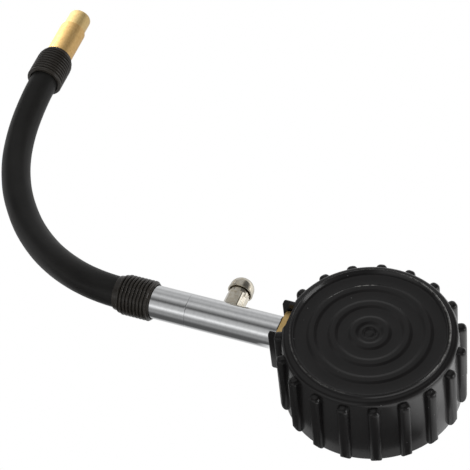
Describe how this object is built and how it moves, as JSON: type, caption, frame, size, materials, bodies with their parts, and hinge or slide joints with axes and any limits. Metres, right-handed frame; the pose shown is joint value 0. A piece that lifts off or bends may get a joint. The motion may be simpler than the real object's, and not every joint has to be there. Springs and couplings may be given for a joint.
{
  "type": "tire pressure gauge",
  "caption": "Dial tyre pressure gauge in a ribbed rubber boot, lying face down, with a metal stem, a press-to-bleed valve, a short thick rubber hose and a straight brass chuck.",
  "frame": {"origin": "on the gauge's axis, at the middle of the boot's front rim, in the plane of the table that the gauge lies on face down", "axes": "+Z along the gauge's axis from the front rim to the ringed back; the stem points along -X, the dial's twelve o'clock toward +X, the bleed button along +Y"},
  "size_m": [0.254, 0.2026, 0.0354],
  "materials": {
    "black_rubber": "matte moulded",
    "brass": "turned, slightly dull",
    "polished_metal": "bright polished",
    "nickel_plate": "nickel plated",
    "case_steel": "satin",
    "spring_bronze": "drawn",
    "clear_lens": "clear",
    "dial_white": "satin",
    "pointer_black": "satin",
    "seal_rubber": "matte"
  },
  "bodies": {
    "housing": {"back_plate": "brass", "bezel_ring": "polished_metal", "boot": "black_rubber", "bourdon_tube": "spring_bronze", "case_cup": "case_steel", "chuck_body": "brass", "chuck_nose": "brass", "chuck_seal": "seal_rubber", "depressor_pin": "brass", "dial_plate": "dial_white", "dial_screw_1": "case_steel", "dial_screw_2": "case_steel", "far_sleeve": "black_rubber", "front_plate": "brass", "hairspring": "spring_bronze", "hairspring_stud": "brass", "hose": "black_rubber", "hose_coupling": "polished_metal", "lens": "clear_lens", "lens_gasket": "seal_rubber", "movement_screw_1": "case_steel", "movement_screw_2": "case_steel", "near_sleeve": "black_rubber", "pillar_1": "brass", "pillar_2": "brass", "pillar_3": "brass", "socket_block": "brass", "stem_tube": "polished_metal", "stop_pin": "brass", "valve_body": "nickel_plate", "valve_spring": "spring_bronze"},
    "sector": {"sector_gear": "brass"},
    "pointer_shaft": {"pinion_arbor": "case_steel", "pointer": "pointer_black", "hairspring_collet": "brass"},
    "link_bar": {"link": "brass"},
    "tip": {"tube_tip": "brass"},
    "bleed_button": {"valve_button": "nickel_plate", "valve_stem": "brass", "valve_seal": "seal_rubber"}
  },
  "joints": [
    {"name": "sector_swing", "type": "hinge", "parent": "housing", "child": "sector", "pos_m": [-0.018, 0, 0.0124], "axis": [0, 0, 1], "range_deg": [-33.75, 0], "deforming": ["bourdon_tube"]},
    {"name": "pointer_turn", "type": "hinge", "parent": "housing", "child": "pointer_shaft", "pos_m": [0, 0, 0.0122], "axis": [0, 0, 1], "range_deg": [0, 270], "deforming": ["hairspring"]},
    {"name": "link_pivot", "type": "hinge", "parent": "sector", "child": "link_bar", "pos_m": [-0.02368, 0.00193, 0.01355], "axis": [0, 0, 1], "range_deg": [0, 33.75]},
    {"name": "tip_pull", "type": "slide", "parent": "housing", "child": "tip", "axis": [0.5821, 0.8131, 0], "range_m": [0, 0.00348], "stiffness_N_per_m": 150},
    {"name": "bleed_press", "type": "slide", "parent": "housing", "child": "bleed_button", "axis": [0, -1, 0], "range_m": [0, 0.0015], "stiffness_N_per_m": 600, "deforming": ["valve_spring"]}
  ],
  "couplings": [
    {"joint": "sector_swing", "follows": "tip_pull", "rad_per_m": -169.1},
    {"joint": "pointer_turn", "follows": "tip_pull", "rad_per_m": 1352.8},
    {"joint": "link_pivot", "follows": "tip_pull", "rad_per_m": 169.1}
  ]
}
